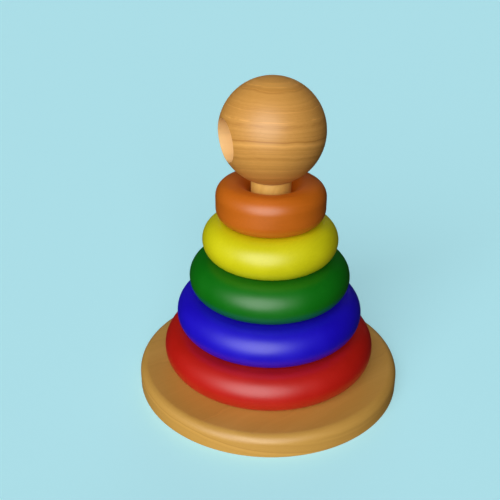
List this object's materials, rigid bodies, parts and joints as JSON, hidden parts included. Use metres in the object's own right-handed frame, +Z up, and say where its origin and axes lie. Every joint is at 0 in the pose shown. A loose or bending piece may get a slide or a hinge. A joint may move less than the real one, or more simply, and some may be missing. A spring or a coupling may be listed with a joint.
{
  "type": "ring-stacking pyramid toy",
  "caption": "Wooden stacking toy: a round base with a dowel peg, painted round-edged rings that get smaller upwards, and a drilled wooden ball on top.",
  "frame": {"origin": "centre of the base's underside, on the surface that the toy stands on", "axes": "+Z up along the peg; the ball's side hole faces -X, turned 21 degrees towards -Y"},
  "size_m": [0.125, 0.125, 0.1485],
  "materials": {
    "oiled_wood": "bare wood, clear satin oil",
    "red_paint": "wood under smooth satin lacquer",
    "blue_paint": "wood under smooth satin lacquer",
    "green_paint": "wood under smooth satin lacquer",
    "yellow_paint": "wood under smooth satin lacquer",
    "orange_paint": "wood under smooth satin lacquer",
    "steel": "zinc-plated"
  },
  "bodies": {
    "stand": {"base": "oiled_wood", "peg": "oiled_wood", "peg_screw": "steel"},
    "red_ring": {"red_ring": "red_paint"},
    "blue_ring": {"blue_ring": "blue_paint"},
    "green_ring": {"green_ring": "green_paint"},
    "yellow_ring": {"yellow_ring": "yellow_paint"},
    "orange_ring": {"orange_ring": "orange_paint"},
    "ball": {"ball": "oiled_wood"}
  },
  "joints": [
    {"name": "red_lift", "type": "slide", "parent": "stand", "child": "red_ring", "axis": [0, 0, 1], "range_m": [0, 0.112]},
    {"name": "blue_lift", "type": "slide", "parent": "red_ring", "child": "blue_ring", "axis": [0, 0, 1], "range_m": [0, 0.094]},
    {"name": "green_lift", "type": "slide", "parent": "blue_ring", "child": "green_ring", "axis": [0, 0, 1], "range_m": [0, 0.076]},
    {"name": "yellow_lift", "type": "slide", "parent": "green_ring", "child": "yellow_ring", "axis": [0, 0, 1], "range_m": [0, 0.058]},
    {"name": "orange_lift", "type": "slide", "parent": "yellow_ring", "child": "orange_ring", "axis": [0, 0, 1], "range_m": [0, 0.04]},
    {"name": "ball_lift", "type": "slide", "parent": "orange_ring", "child": "ball", "axis": [0, 0, 1], "range_m": [0, 0.02]}
  ]
}
